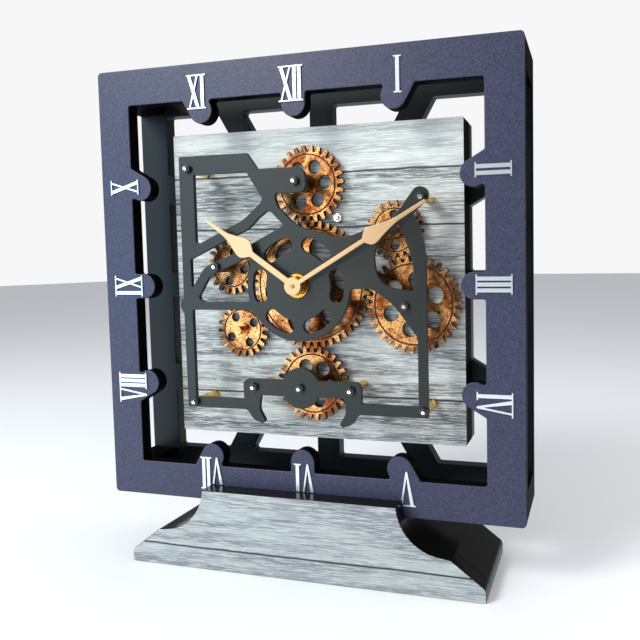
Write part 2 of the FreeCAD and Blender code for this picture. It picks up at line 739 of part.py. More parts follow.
upperRightPhase = meshedPhase(rightPhase, rightTeeth, upperRightTeeth, upperRightBearing)
pieces["wheel_centre"] = wheel(centrePlace, centreTeeth, centrePhase, centreBore, centreHoles,
                               wideInset, noBoss)
pieces["wheel_top"] = wheel(topPlace, topTeeth, topPhase, axleBore, topHoles, wideInset,
                            (topBossRadius, topBossHeight))
pieces["wheel_left"] = wheel(leftPlace, leftTeeth, leftPhase, axleBore, leftHoles, narrowInset, noBoss)
pieces["wheel_bottom"] = wheel(bottomPlace, bottomTeeth, bottomPhase, axleBore, bottomHoles,
                               wideInset, noBoss)
pieces["wheel_right"] = wheel(rightPlace, rightTeeth, rightPhase, axleBore, rightHoles, wideInset, noBoss)
pieces["wheel_upper_right"] = wheel(upperRightPlace, upperRightTeeth, upperRightPhase, axleBore,
                                    upperRightHoles, narrowInset, (stubBossRadius, stubBossHeight))
driver = wheel(lowerLeftPlace, lowerLeftTeeth, lowerLeftPhase, shaftRadius + nutClearance, lowerLeftHoles,
               narrowInset, (driveBossRadius, driveBossHeight))
stubY = wheelY - driveStubHeight
driver = driver.fuse(rod(lowerLeftPlace, driveStubRadius, stubY, driveStubHeight))
shaftY = wheelY - driveBossHeight
shaftEndY = boardBackY + shaftInMotor
shaftBore = rod(lowerLeftPlace, shaftRadius + nutClearance, shaftY, driveBossHeight)
pieces["wheel_lower_left"] = driver.cut(shaftBore)
pieces["motor_shaft"] = rod(lowerLeftPlace, shaftRadius, shaftY, shaftEndY - shaftY)

# Short axle of the upper right wheel, screwed into the board
journalY = wheelY - stubBossHeight - endClearance
axle = rod(upperRightPlace, sleeveRadius, journalY, boardY - journalY)
axle = axle.fuse(rod(upperRightPlace, sleeveFlangeRadius, flangeY, boardY - flangeY))
pieces["stub_axle"] = axle.fuse(rod(upperRightPlace, boltRadius, boardY, stubTailLength))
pieces["stub_cap"] = rod(upperRightPlace, stubCapRadius, journalY - stubCapHeight, stubCapHeight)

# Bush, washer and nut that clamp the movement
bushFrontY = frontY - bushEndLength
hourBore = hourTubeRadius + runningClearance
pieces["movement_bush"] = tube(centrePlace, bushRadius, hourBore, bushFrontY, boardBackY - bushFrontY)
pieces["centre_washer"] = tube(centrePlace, washerRadius, bushRadius + nutClearance, frontY - washerThickness,
                               washerThickness)
bushNutY = frontY - washerThickness - bushNutHeight
bushNut = hexagon(centrePlace, bushNutFlats, bushNutY, bushNutHeight)
pieces["centre_nut"] = bushNut.cut(rod(centrePlace, bushRadius + nutClearance, bushNutY, bushNutHeight))


# Hands
def handBlade(length, shares, degrees, y):
    """Tapering blade with a swollen part, pointing degrees clockwise from twelve."""
    side = [(along * length, wide * handHubRadius) for along, wide in shares]
    outline = [(along, -wide) for along, wide in side] + [(length, 0)]
    outline += [(along, wide) for along, wide in reversed(side)]
    turn = math.radians(90 - degrees)
    ring = [point(along * math.cos(turn) - wide * math.sin(turn), y,
                  centreZ + along * math.sin(turn) + wide * math.cos(turn)) for along, wide in outline]
    half = len(side)
    upper = Part.BSplineCurve()
    upper.interpolate(ring[1:half - 1])
    lower = Part.BSplineCurve()
    lower.interpolate(ring[half + 2:2 * half])
    edges = [Part.makeLine(ring[0], ring[1]), upper.toShape(), Part.makeLine(ring[half - 2], ring[half - 1])]
    edges += [Part.makeLine(ring[half - 1], ring[half]), Part.makeLine(ring[half], ring[half + 1])]
    edges += [Part.makeLine(ring[half + 1], ring[half + 2]), lower.toShape()]
    edges += [Part.makeLine(ring[2 * half - 1], ring[2 * half]), Part.makeLine(ring[2 * half], ring[0])]
    return Part.Face(Part.Wire(edges)).extrude(point(0, handThickness, 0))


hourHandY = bushFrontY - hourHandGap - handThickness
minuteHandY = hourHandY - minuteHandGap - handThickness
arborBore = minuteArborRadius + runningClearance
caseBoreDepth = 2 * wheelBehindGap
hourHand = handBlade(hourLengthShare * frameHalf, hourHandShares, hourHandAngle, hourHandY)
hourHand = hourHand.fuse(rod(centrePlace, handHubRadius, hourHandY, handThickness))
hourHand = hourHand.fuse(rod(centrePlace, hourTubeRadius, hourHandY, boardBackY - hourHandY))
pieces["hour_hand"] = hourHand.cut(rod(centrePlace, arborBore, hourHandY, boardBackY - hourHandY))
minuteHand = handBlade(minuteLengthShare * frameHalf, minuteHandShares, minuteHandAngle, minuteHandY)
pieces["minute_hand"] = joined([
    minuteHand, rod(centrePlace, handHubRadius, minuteHandY, handThickness),
    rod(centrePlace, minuteArborRadius, minuteHandY, boardBackY + caseBoreDepth - minuteHandY),
    rod(centrePlace, handPinRadius, minuteHandY - handPinHeight, handPinHeight),
])


# Movement case with a bay for one cell, open at the back
def cell(centre, y):
    """Round cell lying across, its small end to the right."""
    left = point(centre[0] - cellLength / 2, y, centre[1])
    right = point(centre[0] + cellLength / 2, y, centre[1])
    body = Part.makeCylinder(cellRadius, cellLength, left, point(1, 0, 0))
    tip = Part.makeCylinder(cellTipRadius, cellTipLength, right, point(1, 0, 0))
    return body.fuse(tip)


cellPlace = (0, centreZ - caseCellDrop)
bayHalf = cellLength / 2 + cellTipLength + cellClearance
bayHalfHeight = cellRadius + cellClearance
bayFrontY = caseBackY - 2 * (cellRadius + cellClearance)
knobPlace = (0, centreZ + knobOffset)
case = slab(square(caseHalf, caseCornerRadius), boardBackY, caseDepth)
pieces["movement_case"] = drilled(case, [
    slab(rectangle(*cellPlace, bayHalf, bayHalfHeight, 0), bayFrontY, caseBackY - bayFrontY),
    rod(centrePlace, hourBore, boardBackY, caseBoreDepth + endClearance),
    rod(knobPlace, knobRadius + cellClearance, caseBackY - knobDrop, knobDrop),
    rod(knobPlace, knobStemRadius + runningClearance, caseBackY - knobDrop - knobStemDepth - endClearance,
        knobStemDepth + endClearance),
])
cellSeatY = bayFrontY + cellRadius
pieces["movement_cell"] = cell(cellPlace, cellSeatY)
knobY = caseBackY - knobDrop + knobGap
knob = rod(knobPlace, knobRadius, knobY, knobHeight)
fluteAngles = [flute * 360 / knobFluteCount for flute in range(knobFluteCount)]
flutePlaces = [onCircle(knobPlace, knobRadius, degrees) for degrees in fluteAngles]
flutes = [rod(place, knobFluteRadius, knobY, knobHeight) for place in flutePlaces]
knobStemY = caseBackY - knobDrop - knobStemDepth
pieces["set_knob"] = drilled(knob, flutes).fuse(rod(knobPlace, knobStemRadius, knobStemY, knobY - knobStemY))

# Wheel motor on the board's back
motorOutline = rectangle(*motorPlace, motorHalfWidth, motorHalfHeight, motorCornerRadius)
motor = slab(motorOutline, boardBackY, motorDepth)
can = rod(motorPlace, motorCanRadius, boardBackY + motorDepth, motorCanDepth)
motorBore = rod(lowerLeftPlace, shaftRadius + runningClearance, boardBackY, shaftInMotor + endClearance)
pieces["wheel_motor"] = motor.fuse(can).cut(motorBore)

# Holder with one cell
holderOutline = rectangle(*holderPlace, holderHalfWidth, holderHalfHeight, motorCornerRadius)
holder = slab(holderOutline, boardBackY, holderDepth)
laneY = boardBackY + cellWall
lane = rectangle(*holderPlace, bayHalf, bayHalfHeight, 0)
pieces["cell_holder"] = holder.cut(slab(lane, laneY, holderDepth - cellWall))
pieces["holder_cell"] = cell(holderPlace, laneY + cellRadius)

# Slide switch and wires in the trough
switchPlace = (switchCentreX, centreZ + switchCentreZ)
switchSlot = rectangle(*switchPlace, sliderHalfWidth + sliderTravel / 2 + sliderClearance,
                       sliderHalfHeight + sliderClearance, 0)
switchBody = slab(rectangle(*switchPlace, switchHalfWidth, switchHalfHeight, 0), troughFloorY, troughDepth)
pieces["slide_switch"] = switchBody.cut(slab(switchSlot, backY - sliderDepth, sliderDepth))
sliderPlace = (switchCentreX - sliderTravel / 2, switchPlace[1])
sliderOutline = rectangle(*sliderPlace, sliderHalfWidth, sliderHalfHeight, 0)
pieces["switch_slider"] = slab(sliderOutline, backY - sliderDepth, sliderDepth + sliderReach)


def wire(fromX, toX, z):
    return Part.makeCylinder(wireRadius, toX - fromX, point(fromX, troughFloorY + wireRadius, centreZ + z),
                             point(1, 0, 0))


pieces["motor_wires"] = Part.Compound([
    wire(troughLeft, switchCentreX - switchHalfWidth, switchCentreZ),
    wire(switchCentreX + switchHalfWidth, troughRight, switchCentreZ),
    wire(troughLeft, troughRight, directWireZ),
])


# Numerals, tops outward
def stroke(lowX, highX, lowWidth, highWidth):
    low = lowWidth / 2
    high = highWidth / 2
    return [(lowX - low, 0), (lowX + low, 0), (highX + high, numeralHeight), (highX - high, numeralHeight)]


def serif(width, atTop):
    low = numeralHeight - serifHeight if atTop else 0
    half = width / 2
    return [(-half, low), (half, low), (half, low + serifHeight), (-half, low + serifHeight)]


def glyphParts(letter):
    """Corner rings of one letter's strokes and serifs."""
    if letter == "I":
        return [stroke(0, 0, thickStroke, thickStroke), serif(barSerif, False), serif(barSerif, True)]
    if letter == "V":
        half = wedgeSpread / 2
        thick = stroke(0, -half, thinStroke, thickStroke)
        return [thick, stroke(0, half, thinStroke, thinStroke), serif(wedgeSerif, True)]
    half = crossSpread / 2
    strokes = [stroke(half, -half, thickStroke, thickStroke), stroke(-half, half, thinStroke, thinStroke)]
    return strokes + [serif(crossSerif, False), serif(crossSerif, True)]


def numeral(hour):
    """Numeral of one hour on its side of the frame, kept a gap away from the base."""
    side = ((hour + 1) % 12) // 3
    turn = math.radians(90 - 90 * side)
    up = (math.cos(turn), math.sin(turn))
    right = (up[1], -up[0])
    solids = []
    for letter, share in numeralShares[hour]:
        for part in glyphParts(letter):
            places = [(share * frameHalf + x, numeralInner + height) for x, height in part]
            ring = [(right[0] * x + up[0] * z, right[1] * x + up[1] * z, 0) for x, z in places]
            solids.append(slab(aboveTable(ring), frontY - numeralRaise, numeralRaise))
    whole = joined(solids)
    for aside in (-numeralGap, numeralGap):
        base = pieces["base_front_board"].copy()
        base.translate(point(aside, 0, numeralGap))
        whole = whole.cut(base)
    return whole


pieces["hour_numerals"] = Part.Compound([numeral(hour) for hour in numeralShares])

os.makedirs("parts", exist_ok=True)
for name, shape in pieces.items():
    shape.exportStep(f"parts/{name}.step")
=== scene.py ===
import json
import math

import bmesh
import bpy
from mathutils import Matrix, Vector


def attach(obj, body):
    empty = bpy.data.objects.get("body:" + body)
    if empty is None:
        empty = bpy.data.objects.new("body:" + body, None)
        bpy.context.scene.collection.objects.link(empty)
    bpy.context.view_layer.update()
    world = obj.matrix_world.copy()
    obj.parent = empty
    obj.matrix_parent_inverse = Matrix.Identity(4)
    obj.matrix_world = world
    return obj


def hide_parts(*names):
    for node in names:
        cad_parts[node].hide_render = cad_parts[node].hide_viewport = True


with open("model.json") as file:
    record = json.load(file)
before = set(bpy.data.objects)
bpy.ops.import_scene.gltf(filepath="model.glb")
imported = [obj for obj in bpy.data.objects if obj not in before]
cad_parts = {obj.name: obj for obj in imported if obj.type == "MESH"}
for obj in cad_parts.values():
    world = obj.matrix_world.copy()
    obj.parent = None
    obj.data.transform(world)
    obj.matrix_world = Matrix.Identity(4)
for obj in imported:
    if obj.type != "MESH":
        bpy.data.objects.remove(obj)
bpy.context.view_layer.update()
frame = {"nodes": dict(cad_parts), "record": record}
nodes = frame["nodes"]
bodyOf = {name: body for body, names in frame["record"]["behaviour"]["bodies"].items() for name in names}
mm = 0.001
centre = Vector((0, 0, 194 * mm))  # middle of the dial


# Materials
coatRoughness = 0.08


def newMaterial(name, color, roughness, metallic=0.0, coat=0.0, specular=0.5):
    material = bpy.data.materials.new(name)
    material.use_nodes = True
    shader = material.node_tree.nodes["Principled BSDF"]
    shader.inputs["Base Color"].default_value = (*color, 1)
    shader.inputs["Roughness"].default_value = roughness
    shader.inputs["Metallic"].default_value = metallic
    shader.inputs["Coat Weight"].default_value = coat
    shader.inputs["Coat Roughness"].default_value = coatRoughness
    shader.inputs["Specular IOR Level"].default_value = specular
    return material


# A node with values set by the names of its inputs
def addNode(tree, kind, **values):
    node = tree.nodes.new(kind)
    for key, value in values.items():
        node.inputs[key].default_value = value
    return node


def newGroup(name, inputs, outputs):
    group = bpy.data.node_groups.new(name, "ShaderNodeTree")
    for title, kind, value in inputs:
        socket = group.interface.new_socket(name=title, in_out="INPUT", socket_type=kind)
        socket.default_value = value
    for title, kind in outputs:
        group.interface.new_socket(name=title, in_out="OUTPUT", socket_type=kind)
    return group, group.nodes.new("NodeGroupInput"), group.nodes.new("NodeGroupOutput")


# Noise in object space, stretched by a scale for each axis
def stretchedNoise(tree, scale, detail, roughness, distortion=0.0):
    place = tree.nodes.new("ShaderNodeTexCoord")
    mapping = tree.nodes.new("ShaderNodeMapping")
    mapping.inputs["Scale"].default_value = scale
    noise = addNode(tree, "ShaderNodeTexNoise", Scale=1.0, Detail=detail, Roughness=roughness,
                    Distortion=distortion)
    tree.links.new(place.outputs["Object"], mapping.inputs["Vector"])
    tree.links.new(mapping.outputs["Vector"], noise.inputs["Vector"])
    return noise.outputs["Fac"]


# Colour ramp whose stops are a position with a grey level
def ramp(tree, source, stops):
    node = tree.nodes.new("ShaderNodeValToRGB")
    elements = node.color_ramp.elements
    while len(elements) < len(stops):
        elements.new(0.5)
    for element, (position, level) in zip(elements, stops):
        element.position = position
        element.color = (level, level, level, 1)
    tree.links.new(source, node.inputs["Fac"])
    return node.outputs["Color"]


# Links a socket to another one, or gives it a plain value
def feed(tree, socket, value):
    if isinstance(value, bpy.types.NodeSocket):
        tree.links.new(value, socket)
    else:
        socket.default_value = value


# Colour mix; the colour sockets of the node are 6 and 7, its colour output is 2
def mixed(tree, kind, factor, first, second):
    node = tree.nodes.new("ShaderNodeMix")
    node.data_type = "RGBA"
    node.blend_type = kind
    feed(tree, node.inputs[0], factor)
    feed(tree, node.inputs[6], first)
    feed(tree, node.inputs[7], second)
    return node.outputs[2]


def math2(tree, operation, first, second=0.0, clamp=False):
    node = tree.nodes.new("ShaderNodeMath")
    node.operation = operation
    node.use_clamp = clamp
    feed(tree, node.inputs[0], first)
    feed(tree, node.inputs[1], second)
    return node.outputs[0]


def times(tree, first, second):
    return math2(tree, "MULTIPLY", first, second)


def minus(tree, first, second):
    return math2(tree, "SUBTRACT", first, second)


# Noise scales are features per metre along x, y and z, so streaks are long in x and thin in z
plankPrint = {
    "lines": 4, "noLine": -1.0, "lineHalfWidth": 0.9 * mm, "lineStrength": 1.6,
    "lineColor": (0.02, 0.022, 0.025, 1), "wanderHeight": 2.2 * mm,
    "wanderNoise": {"scale": (22, 1, 1), "detail": 3, "roughness": 0.6},
    "light": (0.66, 0.685, 0.645, 1), "dark": (0.055, 0.062, 0.075, 1), "contrast": 0.88, "calm": 0.45,
    "veins": [((8, 1, 380), 0.032), ((13, 1, 760), 0.055), ((26, 1, 1200), 0.08)],
    "veinDetail": 3, "veinRoughness": 0.55, "veinCore": 0.55, "veinStrength": 0.8,
    "breakNoise": {"scale": (60, 1, 1000), "detail": 3, "roughness": 0.6},
    "breakStops": [(0.42, 0.0), (0.50, 1.0)],
    "fleckNoise": {"scale": (52, 1, 1150), "detail": 6, "roughness": 0.74},
    "fleckStops": [(0.43, 1.0), (0.45, 0.0)],
    "washNoise": {"scale": (34, 1, 1300), "detail": 5, "roughness": 0.7},
    "washStops": [(0.43, 0.34), (0.50, 0.0)],
    "patchNoise": {"scale": (7, 1, 130), "detail": 3, "roughness": 0.6},
    "denseStops": [(0.44, 1.0), (0.58, 0.45)], "sheenStops": [(0.36, 0.96), (0.60, 1.0)],
}


# Thin dark lines where stretched noise passes its middle value
def veinLines(tree, scale, width, look):
    noise = stretchedNoise(tree, scale, look["veinDetail"], look["veinRoughness"])
    away = math2(tree, "ABSOLUTE", minus(tree, noise, 0.5))
    return ramp(tree, away, [(width * look["veinCore"], 1.0), (width, 0.0)])


# Dark part of the print: flecks, broken veins and a faint wash, thicker in some patches
def plankStreaks(group, patches, look):
    dark = ramp(group, stretchedNoise(group, **look["fleckNoise"]), look["fleckStops"])
    breaks = ramp(group, stretchedNoise(group, **look["breakNoise"]), look["breakStops"])
    for scale, width in look["veins"]:
        vein = veinLines(group, scale, width, look)
        vein = mixed(group, "MULTIPLY", look["veinStrength"], vein, breaks)
        dark = mixed(group, "LIGHTEN", 1.0, dark, vein)
    wash = ramp(group, stretchedNoise(group, **look["washNoise"]), look["washStops"])
    dark = mixed(group, "LIGHTEN", 1.0, dark, wash)
    return mixed(group, "MULTIPLY", 1.0, dark, ramp(group, patches, look["denseStops"]))


# Height on the board, with a slow wander so that the lines between planks aren't ruled
def plankHeight(group, look):
    place = group.nodes.new("ShaderNodeTexCoord")
    split = group.nodes.new("ShaderNodeSeparateXYZ")
    group.links.new(place.outputs["Object"], split.inputs["Vector"])
    drift = minus(group, stretchedNoise(group, **look["wanderNoise"]), 0.5)
    return minus(group, split.outputs["Z"], times(group, drift, look["wanderHeight"]))


# Mask of the dark lines between planks
def plankGaps(group, height, lines, look):
    gap = None
    for line in lines:
        distance = math2(group, "ABSOLUTE", minus(group, height, line))
        share = math2(group, "DIVIDE", distance, look["lineHalfWidth"])
        near = math2(group, "SUBTRACT", 1.0, share, clamp=True)
        gap = near if gap is None else math2(group, "MAXIMUM", gap, near)
    return gap


# Weathered plank print with long streaks along x and dark lines between planks
def plankGroup(look):
    titles = [f"Line {index}" for index in range(1, look["lines"] + 1)]
    inputs = [(title, "NodeSocketFloat", look["noLine"]) for title in titles]
    inputs += [("Light", "NodeSocketColor", look["light"]), ("Dark", "NodeSocketColor", look["dark"]),
               ("Contrast", "NodeSocketFloat", look["contrast"]), ("Calm", "NodeSocketFloat", look["calm"])]
    group, given, result = newGroup("Plank print", inputs,
                                    [("Color", "NodeSocketColor"), ("Height", "NodeSocketFloat")])
    patches = stretchedNoise(group, **look["patchNoise"])
    dark = plankStreaks(group, patches, look)
    pale = mixed(group, "MULTIPLY", 1.0, given.outputs["Light"], ramp(group, patches, look["sheenStops"]))
    height = plankHeight(group, look)
    # the plank above the first line is calmer than the others
    above = math2(group, "GREATER_THAN", height, given.outputs["Line 1"])
    calm = minus(group, 1.0, times(group, above, given.outputs["Calm"]))
    amount = times(group, times(group, dark, given.outputs["Contrast"]), calm)
    color = mixed(group, "MIX", amount, pale, given.outputs["Dark"])
    gap = plankGaps(group, height, [given.outputs[title] for title in titles], look)
    lineMask = math2(group, "MULTIPLY", gap, look["lineStrength"], clamp=True)
    color = mixed(group, "MIX", lineMask, color, look["lineColor"])
    level = minus(group, minus(group, 1.0, dark), gap)
    group.links.new(color, result.inputs["Color"])
    group.links.new(level, result.inputs["Height"])
    return group


speckle = {"detail": 2.0, "roughness": 0.6, "shadeStops": [(0.34, 0.62), (0.5, 1.0), (0.66, 1.5)]}


# Paint with a fine grain: a slightly uneven colour and a small bump
def speckleGroup(look):
    group, given, result = newGroup("Speckle", [("Color", "NodeSocketColor", (0.1, 0.1, 0.1, 1)),
                                                ("Grain", "NodeSocketFloat", 1500.0),
                                                ("Amount", "NodeSocketFloat", 0.5)],
                                    [("Color", "NodeSocketColor"), ("Height", "NodeSocketFloat")])
    place = group.nodes.new("ShaderNodeTexCoord")
    noise = addNode(group, "ShaderNodeTexNoise", Detail=look["detail"], Roughness=look["roughness"])
    group.links.new(place.outputs["Object"], noise.inputs["Vector"])
    group.links.new(given.outputs["Grain"], noise.inputs["Scale"])
    shade = ramp(group, noise.outputs["Fac"], look["shadeStops"])
    color = mixed(group, "MULTIPLY", given.outputs["Amount"], given.outputs["Color"], shade)
    group.links.new(color, result.inputs["Color"])
    group.links.new(noise.outputs["Fac"], result.inputs["Height"])
    return group


copper = {
    "bright": (1.0, 0.49, 0.18, 1), "brown": (0.24, 0.052, 0.009, 1),
    "cloudNoise": {"scale": (42, 42, 42), "detail": 6, "roughness": 0.68, "distortion": 0.5},
    "cloudStops": [(0.43, 0.94), (0.56, 0.0)],
    "pitNoise": {"scale": (1100, 1100, 1100), "detail": 3, "roughness": 0.65},
    "pitStops": [(0.42, 0.04), (0.48, 1.0)], "pitStrength": 0.8,
    "roughnessSpan": 0.26, "roughnessLeast": 0.12,
}


# Aged copper: bright rubbed metal with brown clouds and small dark pits
def copperGroup(look):
    group, given, result = newGroup("Aged copper", [("Bright", "NodeSocketColor", look["bright"]),
                                                    ("Brown", "NodeSocketColor", look["brown"])],
                                    [("Color", "NodeSocketColor"), ("Roughness", "NodeSocketFloat"),
                                     ("Height", "NodeSocketFloat")])
    clouds = stretchedNoise(group, **look["cloudNoise"])
    pits = stretchedNoise(group, **look["pitNoise"])
    amount = ramp(group, clouds, look["cloudStops"])
    color = mixed(group, "MIX", amount, given.outputs["Bright"], given.outputs["Brown"])
    color = mixed(group, "MULTIPLY", look["pitStrength"], color, ramp(group, pits, look["pitStops"]))
    rough = math2(group, "ADD", times(group, clouds, look["roughnessSpan"]), look["roughnessLeast"])
    group.links.new(color, result.inputs["Color"])
    group.links.new(rough, result.inputs["Roughness"])
    group.links.new(pits, result.inputs["Height"])
    return group


groups = {"plank": plankGroup(plankPrint), "speckle": speckleGroup(speckle), "copper": copperGroup(copper)}
grainDepth = 0.2 * mm


# Feeds a shared group's colour, roughness and height into the material's own shader
def applyGroup(material, key, strength, distance, **values):
    tree = material.node_tree
    shader = tree.nodes["Principled BSDF"]
    group = tree.nodes.new("ShaderNodeGroup")
    group.node_tree = groups[key]
    for name, value in values.items():
        group.inputs[name.replace("_", " ")].default_value = value
    tree.links.new(group.outputs["Color"], shader.inputs["Base Color"])
    if "Roughness" in group.outputs:
        tree.links.new(group.outputs["Roughness"], shader.inputs["Roughness"])
    bump = addNode(tree, "ShaderNodeBump", Strength=strength, Distance=distance)
    tree.links.new(group.outputs["Height"], bump.inputs["Height"])
    tree.links.new(bump.outputs["Normal"], shader.inputs["Normal"])
    return material


# Paint or moulded plastic with the speckle of its own grain
def painted(name, color, roughness, grain, amount, strength, **more):
    material = newMaterial(name, color, roughness, **more)
    return applyGroup(material, "speckle", strength, grainDepth, Color=(*color, 1), Grain=grain,
                      Amount=amount)


paint = {
    "frame": painted("Frame paint", (0.033, 0.037, 0.072), 0.40, 1300, 1.0, 0.6, specular=0.34),
    "edge": painted("Black edge", (0.002, 0.002, 0.002), 0.45, 700, 0.6, 0.25, specular=0.006),
    "back": painted("Back frame paint", (0.004, 0.0065, 0.0085), 0.38, 900, 0.6, 0.2, specular=0.25),
    "gloss": newMaterial("Base lacquer", (0.003, 0.003, 0.003), 0.20, specular=0.2),
    "plate": painted("Skeleton plate paint", (0.0095, 0.0135, 0.0115), 0.34, 1200, 0.3, 0.1, specular=0.42),
    "plateEdge": newMaterial("Skeleton plate edge", (0.010, 0.011, 0.012), 0.5),
    "numeral": newMaterial("Numeral silver", (0.74, 0.79, 0.82), 0.30, metallic=0.75),
    "hand": newMaterial("Hand gold", (0.62, 0.405, 0.22), 0.32, metallic=0.8),
    "handPin": newMaterial("Hand pin", (0.40, 0.27, 0.10), 0.35, metallic=0.9),
    "brass": newMaterial("Bright brass", (0.86, 0.55, 0.13), 0.14, metallic=1.0),
    "washer": newMaterial("Washer brass", (0.54, 0.29, 0.045), 0.14, metallic=1.0),
    "nut": newMaterial("Black nut", (0.012, 0.012, 0.013), 0.32, specular=0.6),
    "steel": newMaterial("Bolt steel", (0.82, 0.82, 0.80), 0.20, metallic=1.0),
    "darkSteel": newMaterial("Dark steel", (0.06, 0.05, 0.045), 0.4, metallic=0.9),
    "screw": newMaterial("Black screw", (0.02, 0.02, 0.022), 0.35, metallic=0.6),
    "case": painted("Movement plastic", (0.012, 0.012, 0.013), 0.55, 1500, 0.4, 0.3),
    "grey": painted("Grey plastic", (0.085, 0.085, 0.09), 0.5, 1500, 0.3, 0.2),
    "cell": newMaterial("Cell jacket", (0.018, 0.060, 0.12), 0.25, coat=0.2),
    "cellEnd": newMaterial("Cell end", (0.65, 0.65, 0.66), 0.25, metallic=1.0),
    "tin": newMaterial("Tinned steel", (0.55, 0.55, 0.56), 0.35, metallic=1.0),
    "wire": newMaterial("Wire jacket", (0.35, 0.012, 0.008), 0.45),
    # Near-black painted shade for the sides of the wheel teeth, the hole walls and the groove floor
    "copperPaintedShade": newMaterial("Wheel painted shade", (0.030, 0.014, 0.008), 0.45, metallic=0.3),
}
copperMetal = newMaterial("Aged copper", (0.72, 0.40, 0.20), 0.35, metallic=0.96)
boardPrint = newMaterial("Board print", (0.6, 0.63, 0.63), 0.6)
plinthPrint = newMaterial("Plinth print", (0.6, 0.63, 0.63), 0.55)
paint["copper"] = applyGroup(copperMetal, "copper", 0.15, grainDepth)
paint["board"] = applyGroup(boardPrint, "plank", 0.08, 0.4 * mm,
                            Line_1=270.5 * mm, Line_2=233.4 * mm, Line_3=116.4 * mm)
paint["plinth"] = applyGroup(plinthPrint, "plank", 0.05, 0.3 * mm, Line_1=15 * mm, Calm=0.0, Contrast=0.8,
                             Light=(0.46, 0.50, 0.485, 1), Dark=(0.10, 0.11, 0.135, 1))
print("materials made", len(paint))


# A finish says which paint a face gets, from its normal and its middle
wheelFaces = {"bossFront": -4.2 * mm, "middle": -2.5 * mm, "groove": 1.2 * mm, "facing": 0.45}
cellFaces = {"endFacing": 0.7}
handFaces = {"pinRadius": 1.5 * mm, "pinFront": -29.5 * mm}
frameFaces = {"outside": 149 * mm}


# The flat faces are copper; the sides of the teeth, the walls of the holes and the floor of the groove get a
# near-black painted shade
def wheelFinish(normal, place):
    if place.y < wheelFaces["bossFront"]:
        return "copper"
    flat = abs(normal.y) > wheelFaces["facing"]
    outer = abs(place.y - wheelFaces["middle"]) > wheelFaces["groove"]
    return "copper" if flat and outer else "copperPaintedShade"


def printedFront(front, side, limit=-0.75):
    return lambda normal, place: front if normal.y < limit else side


def cellFinish(normal, place):
    return "cellEnd" if abs(normal.x) > cellFaces["endFacing"] else "cell"


def handFinish(normal, place):
    nearAxis = math.hypot(place.x, place.z - centre.z) < handFaces["pinRadius"]
    return "handPin" if nearAxis and place.y < handFaces["pinFront"] else "hand"


def backFinish(normal, place):
    outside = max(abs(place.x), abs(place.z - centre.z)) > frameFaces["outside"]
    return "edge" if outside else "back"


def plain(key):
    return lambda normal, place: key


# Bevels are in millimetres
wheel = {"bevel": 0.22, "finish": wheelFinish, "segments": 2}
pieceSettings = {
    "front_frame": {"bevel": 0.7, "finish": printedFront("frame", "edge", -0.3), "segments": 3},
    "back_frame": {"bevel": 0.6, "finish": backFinish, "segments": 2},
    "wood_board": {"bevel": 0.4, "finish": printedFront("board", "edge"), "segments": 2},
    "board_spacer": {"bevel": 0.4, "finish": plain("edge"), "segments": 2},
    "base_front_board": {"bevel": 0.7, "finish": printedFront("plinth", "gloss"), "segments": 3},
    "base_core": {"bevel": 0.0, "finish": plain("gloss"), "segments": 1},
    "base_back_board": {"bevel": 0.7, "finish": plain("gloss"), "segments": 3},
    "hour_numerals": {"bevel": 0.1, "finish": plain("numeral"), "segments": 2},
    "skeleton_plate": {"bevel": 0.25, "finish": printedFront("plate", "plateEdge", -0.5), "segments": 2},
    "hour_hand": {"bevel": 0.16, "finish": handFinish, "segments": 2},
    "minute_hand": {"bevel": 0.16, "finish": handFinish, "segments": 2},
    "centre_washer": {"bevel": 0.2, "finish": plain("washer"), "segments": 2},
    "centre_nut": {"bevel": 0.2, "finish": plain("washer"), "segments": 2},
    "plate_nuts": {"bevel": 0.3, "finish": plain("nut"), "segments": 2},
    "board_nut": {"bevel": 0.3, "finish": plain("steel"), "segments": 2},
    "set_knob": {"bevel": 0.2, "finish": plain("grey"), "segments": 2},
    "movement_case": {"bevel": 0.5, "finish": plain("case"), "segments": 2},
    "cell_holder": {"bevel": 0.4, "finish": plain("case"), "segments": 2},
    "wheel_motor": {"bevel": 0.4, "finish": plain("grey"), "segments": 2},
    "holder_cell": {"bevel": 0.6, "finish": cellFinish, "segments": 3},
    "movement_cell": {"bevel": 0.6, "finish": cellFinish, "segments": 3},
    "switch_slider": {"bevel": 0.2, "finish": plain("case"), "segments": 2},
}
for name in nodes:
    if name.startswith("wheel_") and name not in pieceSettings:
        pieceSettings[name] = wheel

# Small pieces that keep the frame's own mesh
plainPieces = {
    "edge": ["corner_block_bottom_left", "corner_block_bottom_right", "corner_block_top_left",
             "corner_block_top_right"],
    "screw": ["frame_screws", "panel_screws", "base_screws"],
    "brass": ["plate_posts", "axle_sleeves", "centre_sleeve", "stub_axle", "movement_bush"],
    "darkSteel": ["axle_spacers", "centre_spacer", "stub_cap"],
    "steel": ["plate_bolts", "board_screw", "motor_shaft"],
    "tin": ["slide_switch"],
    "wire": ["motor_wires"],
}
softening = {"mergeDistance": 0.002 * mm, "flatAngle": math.radians(1), "smoothAngle": math.radians(35),
             "rimAngle": math.radians(50), "rimFacing": 0.95, "bevelShares": (1.0, 0.7, 0.45, 0.3),
             "foldedShare": 0.001}


# Sharp outward edges of faces that look straight to the front or the back
def rimEdges(mesh):
    found = []
    for edge in mesh.edges:
        if edge.is_convex and edge.calc_face_angle(0) > softening["rimAngle"]:
            if max(abs(face.normal.y) for face in edge.link_faces) > softening["rimFacing"]:
                found.append(edge)
    return found


# A folded face has less area than the triangles that it is cut into
def hasFolds(mesh):
    split = mesh.copy()
    bmesh.ops.triangulate(split, faces=split.faces)
    whole = sum(face.calc_area() for face in mesh.faces)
    parts = sum(face.calc_area() for face in split.faces)
    split.free()
    return abs(parts - whole) >= softening["foldedShare"] * whole


